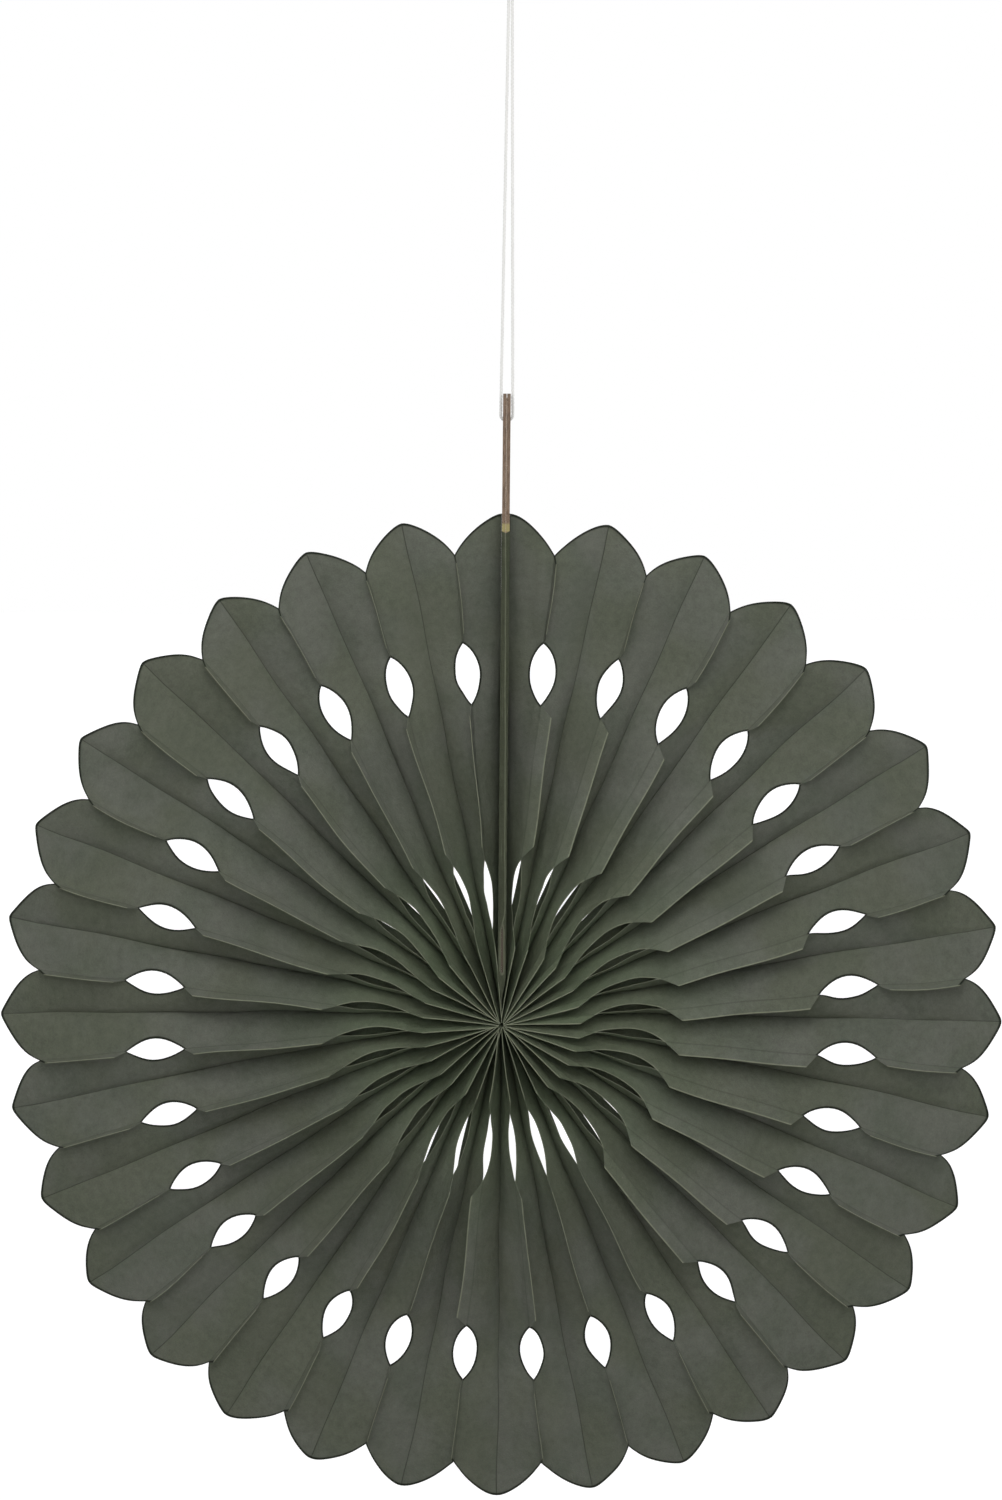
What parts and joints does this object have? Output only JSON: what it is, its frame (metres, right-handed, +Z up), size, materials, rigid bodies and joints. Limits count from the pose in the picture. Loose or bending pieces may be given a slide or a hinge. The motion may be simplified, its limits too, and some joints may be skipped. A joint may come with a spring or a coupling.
{
  "type": "paper fan medallion",
  "caption": "Round hanging fan of pleated, die-cut tissue, glued leaf to leaf and opened through a full turn between two end cards, with a string through the cards' tab.",
  "frame": {"origin": "between the two strands of the string, right under the knot that closes it into a loop, where the fan hangs", "axes": "+Z up along the string and the tab, -Y out of the fan's front, +X to the right as seen from the front"},
  "size_m": [0.4064, 0.03, 0.6187],
  "materials": {
    "tissue": "matte",
    "greyboard": "matte",
    "tape": "satin",
    "string": "satin"
  },
  "bodies": {
    "root": {"tissue_fan": "tissue", "end_card_left": "greyboard", "end_card_right": "greyboard", "card_tape": "tape", "hanging_string": "string", "string_knot": "string"}
  },
  "joints": []
}
